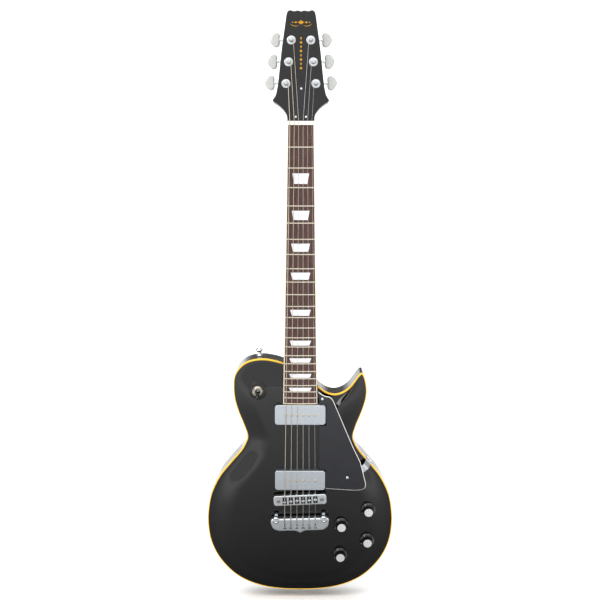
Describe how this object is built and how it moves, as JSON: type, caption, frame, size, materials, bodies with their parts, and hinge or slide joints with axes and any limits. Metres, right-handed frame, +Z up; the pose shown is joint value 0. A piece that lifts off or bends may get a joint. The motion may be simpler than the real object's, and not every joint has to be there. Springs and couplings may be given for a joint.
{
  "type": "electric guitar",
  "caption": "Single-cutaway solid-body electric guitar with carved top, angled headstock, turning tuners and knobs, a flip switch and sliding bridge saddles.",
  "frame": {"origin": "crown of the fretboard at the front edge of the nut, on the centreline, where the two prongs of a hanger hold the neck under the headstock's ears", "axes": "+Z up the body's centreline towards the headstock, -Y out of the playing side, +X to the treble side"},
  "size_m": [0.322, 0.1059, 1.0052],
  "materials": {
    "black_lacquer": "gloss black nitrocellulose-type lacquer over wood",
    "amber_binding": "aged amber celluloid binding, satin",
    "rosewood": "open-pored dark rosewood, satin, with nickel-silver fret wire",
    "bone": "white bone-like plastic, satin",
    "steel": "plated steel, fine brushed",
    "chrome": "bright chrome plate",
    "satin_nickel": "satin nickel plate",
    "black_plastic": "glossy black plastic",
    "guard_plastic": "glossy black plate with a light core that shows at its bevelled edge",
    "pearl_plastic": "pearl grey plated plastic",
    "string_wire": "nickel-plated steel wire",
    "coil_wrap": "dark coil wrap"
  },
  "bodies": {
    "guitar": {"body": "black_lacquer", "body_binding": "amber_binding", "neck": "black_lacquer", "fretboard": "rosewood", "nut": "bone", "truss_rod": "steel", "truss_rod_cover": "black_plastic", "control_cavity_cover": "black_plastic", "switch_cavity_cover": "black_plastic", "pickguard": "guard_plastic", "neck_pickup_cover": "satin_nickel", "neck_pickup_coil": "coil_wrap", "bridge_pickup_cover": "satin_nickel", "bridge_pickup_coil": "coil_wrap", "bridge_body": "chrome", "bridge_post_bass": "steel", "bridge_post_treble": "steel", "tailpiece": "chrome", "tailpiece_stud_bass": "chrome", "tailpiece_stud_treble": "chrome", "pot_plate": "steel", "toggle_switch_frame": "steel", "output_jack": "chrome", "strap_button_upper": "chrome", "strap_button_end": "chrome", "tuner_housing_bass_1": "chrome", "tuner_housing_bass_2": "chrome", "tuner_housing_bass_3": "chrome", "tuner_housing_treble_1": "chrome", "tuner_housing_treble_2": "chrome", "tuner_housing_treble_3": "chrome", "string_e2": "string_wire", "string_a2": "string_wire", "string_d3": "string_wire", "string_g3": "string_wire", "string_b3": "string_wire", "string_e4": "string_wire"},
    "button_bass_1": {"tuner_button_bass_1": "pearl_plastic"},
    "post_bass_1": {"tuner_post_bass_1": "chrome"},
    "button_treble_1": {"tuner_button_treble_1": "pearl_plastic"},
    "post_treble_1": {"tuner_post_treble_1": "chrome"},
    "button_bass_2": {"tuner_button_bass_2": "pearl_plastic"},
    "post_bass_2": {"tuner_post_bass_2": "chrome"},
    "button_treble_2": {"tuner_button_treble_2": "pearl_plastic"},
    "post_treble_2": {"tuner_post_treble_2": "chrome"},
    "button_bass_3": {"tuner_button_bass_3": "pearl_plastic"},
    "post_bass_3": {"tuner_post_bass_3": "chrome"},
    "button_treble_3": {"tuner_button_treble_3": "pearl_plastic"},
    "post_treble_3": {"tuner_post_treble_3": "chrome"},
    "knob_body_neck_volume": {"knob_neck_volume": "black_plastic"},
    "knob_body_bridge_volume": {"knob_bridge_volume": "black_plastic"},
    "knob_body_neck_tone": {"knob_neck_tone": "black_plastic"},
    "knob_body_bridge_tone": {"knob_bridge_tone": "black_plastic"},
    "toggle_arm": {"toggle_lever": "black_plastic"},
    "saddle_block_e2": {"saddle_e2": "chrome"},
    "saddle_block_a2": {"saddle_a2": "chrome"},
    "saddle_block_d3": {"saddle_d3": "chrome"},
    "saddle_block_g3": {"saddle_g3": "chrome"},
    "saddle_block_b3": {"saddle_b3": "chrome"},
    "saddle_block_e4": {"saddle_e4": "chrome"}
  },
  "joints": [
    {"name": "button_turn_bass_1", "type": "hinge", "parent": "guitar", "child": "button_bass_1", "pos_m": [-0.0505, 0.04383, 0.06489], "axis": [-1, 0, 0], "continuous": true},
    {"name": "post_turn_bass_1", "type": "hinge", "parent": "guitar", "child": "post_bass_1", "pos_m": [-0.024, 0.02196, 0.06409], "axis": [0, -0.9613, 0.2756], "continuous": true},
    {"name": "button_turn_treble_1", "type": "hinge", "parent": "guitar", "child": "button_treble_1", "pos_m": [0.0505, 0.04383, 0.06489], "axis": [1, 0, 0], "continuous": true},
    {"name": "post_turn_treble_1", "type": "hinge", "parent": "guitar", "child": "post_treble_1", "pos_m": [0.024, 0.02196, 0.06409], "axis": [0, -0.9613, 0.2756], "continuous": true},
    {"name": "button_turn_bass_2", "type": "hinge", "parent": "guitar", "child": "button_bass_2", "pos_m": [-0.0464, 0.05356, 0.09883], "axis": [-1, 0, 0], "continuous": true},
    {"name": "post_turn_bass_2", "type": "hinge", "parent": "guitar", "child": "post_bass_2", "pos_m": [-0.0199, 0.0317, 0.09802], "axis": [0, -0.9613, 0.2756], "continuous": true},
    {"name": "button_turn_treble_2", "type": "hinge", "parent": "guitar", "child": "button_treble_2", "pos_m": [0.0464, 0.05356, 0.09883], "axis": [1, 0, 0], "continuous": true},
    {"name": "post_turn_treble_2", "type": "hinge", "parent": "guitar", "child": "post_treble_2", "pos_m": [0.0199, 0.0317, 0.09802], "axis": [0, -0.9613, 0.2756], "continuous": true},
    {"name": "button_turn_bass_3", "type": "hinge", "parent": "guitar", "child": "button_bass_3", "pos_m": [-0.0422, 0.06343, 0.13324], "axis": [-1, 0, 0], "continuous": true},
    {"name": "post_turn_bass_3", "type": "hinge", "parent": "guitar", "child": "post_bass_3", "pos_m": [-0.0157, 0.04156, 0.13244], "axis": [0, -0.9613, 0.2756], "continuous": true},
    {"name": "button_turn_treble_3", "type": "hinge", "parent": "guitar", "child": "button_treble_3", "pos_m": [0.0422, 0.06343, 0.13324], "axis": [1, 0, 0], "continuous": true},
    {"name": "post_turn_treble_3", "type": "hinge", "parent": "guitar", "child": "post_treble_3", "pos_m": [0.0157, 0.04156, 0.13244], "axis": [0, -0.9613, 0.2756], "continuous": true},
    {"name": "knob_turn_neck_volume", "type": "hinge", "parent": "guitar", "child": "knob_body_neck_volume", "pos_m": [0.0715, -0.02, -0.68246], "axis": [0, -1, 0], "range_deg": [-150, 150]},
    {"name": "knob_turn_bridge_volume", "type": "hinge", "parent": "guitar", "child": "knob_body_bridge_volume", "pos_m": [0.1177, -0.02, -0.65446], "axis": [0, -1, 0], "range_deg": [-150, 150]},
    {"name": "knob_turn_neck_tone", "type": "hinge", "parent": "guitar", "child": "knob_body_neck_tone", "pos_m": [0.0701, -0.02, -0.73846], "axis": [0, -1, 0], "range_deg": [-150, 150]},
    {"name": "knob_turn_bridge_tone", "type": "hinge", "parent": "guitar", "child": "knob_body_bridge_tone", "pos_m": [0.1167, -0.02, -0.71136], "axis": [0, -1, 0], "range_deg": [-150, 150]},
    {"name": "toggle_flip", "type": "hinge", "parent": "guitar", "child": "toggle_arm", "pos_m": [-0.0716, -0.011, -0.44106], "axis": [-1, 0, 0], "range_deg": [0, 28]},
    {"name": "saddle_slide_e2", "type": "slide", "parent": "guitar", "child": "saddle_block_e2", "axis": [-0.0471, 0, 0.9989], "range_m": [-0.0023, 0.0055]},
    {"name": "saddle_slide_a2", "type": "slide", "parent": "guitar", "child": "saddle_block_a2", "axis": [-0.0471, 0, 0.9989], "range_m": [-0.0031, 0.0047]},
    {"name": "saddle_slide_d3", "type": "slide", "parent": "guitar", "child": "saddle_block_d3", "axis": [-0.0471, 0, 0.9989], "range_m": [-0.0039, 0.0039]},
    {"name": "saddle_slide_g3", "type": "slide", "parent": "guitar", "child": "saddle_block_g3", "axis": [-0.0471, 0, 0.9989], "range_m": [-0.003, 0.0048]},
    {"name": "saddle_slide_b3", "type": "slide", "parent": "guitar", "child": "saddle_block_b3", "axis": [-0.0471, 0, 0.9989], "range_m": [-0.0037, 0.0041]},
    {"name": "saddle_slide_e4", "type": "slide", "parent": "guitar", "child": "saddle_block_e4", "axis": [-0.0471, 0, 0.9989], "range_m": [-0.0045, 0.0033]}
  ],
  "couplings": [
    {"joint": "post_turn_bass_1", "follows": "button_turn_bass_1", "ratio": 0.071429},
    {"joint": "post_turn_treble_1", "follows": "button_turn_treble_1", "ratio": 0.071429},
    {"joint": "post_turn_bass_2", "follows": "button_turn_bass_2", "ratio": 0.071429},
    {"joint": "post_turn_treble_2", "follows": "button_turn_treble_2", "ratio": 0.071429},
    {"joint": "post_turn_bass_3", "follows": "button_turn_bass_3", "ratio": 0.071429},
    {"joint": "post_turn_treble_3", "follows": "button_turn_treble_3", "ratio": 0.071429}
  ]
}
